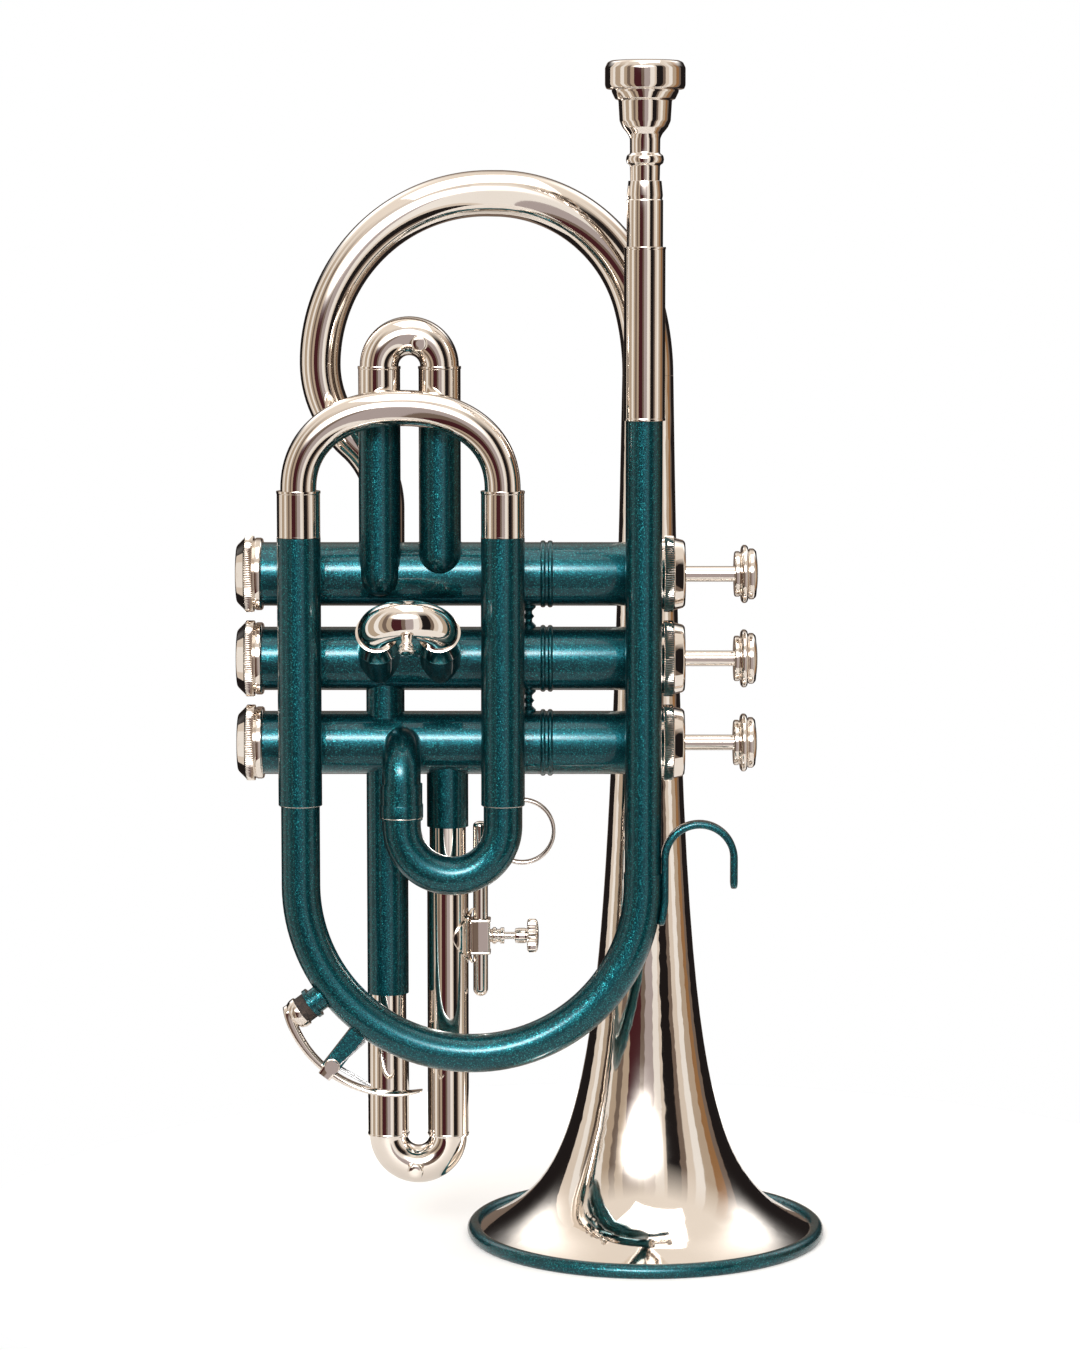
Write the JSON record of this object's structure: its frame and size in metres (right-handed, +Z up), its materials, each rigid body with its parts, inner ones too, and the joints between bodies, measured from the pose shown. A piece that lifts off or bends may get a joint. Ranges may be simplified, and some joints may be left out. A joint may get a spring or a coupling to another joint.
{
  "type": "cornet",
  "caption": "Cornet with a flared bell, shepherd's crook, piston valves with pull slides, a finger ring, a water key and a removable mouthpiece.",
  "frame": {"origin": "centre of the bell mouth, on the plane that the bell's rim rests on", "axes": "+Z up the bell's axis, +X from that axis towards the finger buttons, +Y away from the side of the mouthpiece pipe"},
  "size_m": [0.1989, 0.1298, 0.399],
  "materials": {
    "nickel": "polished plate",
    "lacquer": "gloss metallic teal lacquer",
    "piston_metal": "lapped",
    "spring_steel": "drawn wire",
    "guide_brass": "machined",
    "felt": "pressed wool felt",
    "cork": "dark pad",
    "pearl": "polished inlay"
  },
  "bodies": {
    "body": {"bell_rim": "lacquer", "leadpipe": "lacquer", "main_bow": "lacquer", "tuning_outer_tubes": "lacquer", "inlet_bow": "lacquer", "inlet_elbow": "lacquer", "knuckles": "lacquer", "casing_braces": "lacquer", "tube_saddles": "lacquer", "first_outer_tubes": "lacquer", "second_outer_tubes": "lacquer", "third_outer_tubes": "lacquer", "water_key_seat": "lacquer", "finger_hook": "lacquer", "valve_casing_1": "lacquer", "valve_casing_2": "lacquer", "valve_casing_3": "lacquer", "bell": "nickel", "bell_crook": "nickel", "mouthpiece_receiver": "nickel", "leadpipe_sleeve": "nickel", "water_key_pin": "nickel", "top_cap_1": "nickel", "top_cap_2": "nickel", "top_cap_3": "nickel", "bottom_cap_1": "nickel", "bottom_cap_2": "nickel", "bottom_cap_3": "nickel", "valve_spring_1": "spring_steel", "valve_spring_2": "spring_steel", "valve_spring_3": "spring_steel", "water_key_spring": "spring_steel", "valve_guides": "guide_brass", "cap_felts": "felt"},
    "mouthpiece": {"mouthpiece": "nickel"},
    "tuning_slide": {"tuning_inner_tubes": "nickel", "tuning_bow": "nickel"},
    "first_slide": {"first_inner_tubes": "nickel", "first_bow": "nickel"},
    "second_slide": {"second_inner_tubes": "nickel", "second_bow": "nickel"},
    "third_slide": {"third_inner_tubes": "nickel", "third_bow": "nickel", "ring_clamp": "nickel"},
    "finger_ring": {"finger_ring": "nickel"},
    "clamp_screw": {"clamp_screw": "nickel"},
    "water_key": {"water_key_lever": "nickel", "water_key_cork": "cork"},
    "valve_1": {"piston_1": "piston_metal", "stem_1": "nickel", "button_1": "nickel", "button_pearl_1": "pearl"},
    "valve_2": {"piston_2": "piston_metal", "stem_2": "nickel", "button_2": "nickel", "button_pearl_2": "pearl"},
    "valve_3": {"piston_3": "piston_metal", "stem_3": "nickel", "button_3": "nickel", "button_pearl_3": "pearl"}
  },
  "joints": [
    {"name": "mouthpiece_pull", "type": "slide", "parent": "body", "child": "mouthpiece", "axis": [0, 0, 1], "range_m": [0, 0.02]},
    {"name": "tuning_slide_pull", "type": "slide", "parent": "body", "child": "tuning_slide", "axis": [0, 0, 1], "range_m": [0, 0.035]},
    {"name": "first_slide_pull", "type": "slide", "parent": "body", "child": "first_slide", "axis": [0, 0, 1], "range_m": [0, 0.025]},
    {"name": "second_slide_pull", "type": "slide", "parent": "body", "child": "second_slide", "axis": [0, -0.8746, 0.4848], "range_m": [0, 0.0065]},
    {"name": "third_slide_pull", "type": "slide", "parent": "body", "child": "third_slide", "axis": [0, 0, -1], "range_m": [-0.0075, 0.0085]},
    {"name": "finger_ring_shift", "type": "slide", "parent": "third_slide", "child": "finger_ring", "axis": [0, 0, -1], "range_m": [0, 0.014]},
    {"name": "clamp_screw_turn", "type": "hinge", "parent": "third_slide", "child": "clamp_screw", "pos_m": [-0.045, -0.024, 0.10865], "axis": [1, 0, 0], "continuous": true},
    {"name": "water_key_tilt", "type": "hinge", "parent": "body", "child": "water_key", "pos_m": [-0.10527, -0.046, 0.06929], "axis": [0, -1, 0], "range_deg": [0, 12], "stiffness_Nm_per_rad": 0.03, "springref_deg": -28.65, "deforming": ["water_key_spring"]},
    {"name": "valve_1_press", "type": "slide", "parent": "body", "child": "valve_1", "axis": [-1, 0, 0], "range_m": [0, 0.016], "stiffness_N_per_m": 150, "springref_m": -0.02, "deforming": ["valve_spring_1"]},
    {"name": "valve_2_press", "type": "slide", "parent": "body", "child": "valve_2", "axis": [-1, 0, 0], "range_m": [0, 0.016], "stiffness_N_per_m": 150, "springref_m": -0.02, "deforming": ["valve_spring_2"]},
    {"name": "valve_3_press", "type": "slide", "parent": "body", "child": "valve_3", "axis": [-1, 0, 0], "range_m": [0, 0.016], "stiffness_N_per_m": 150, "springref_m": -0.02, "deforming": ["valve_spring_3"]}
  ]
}
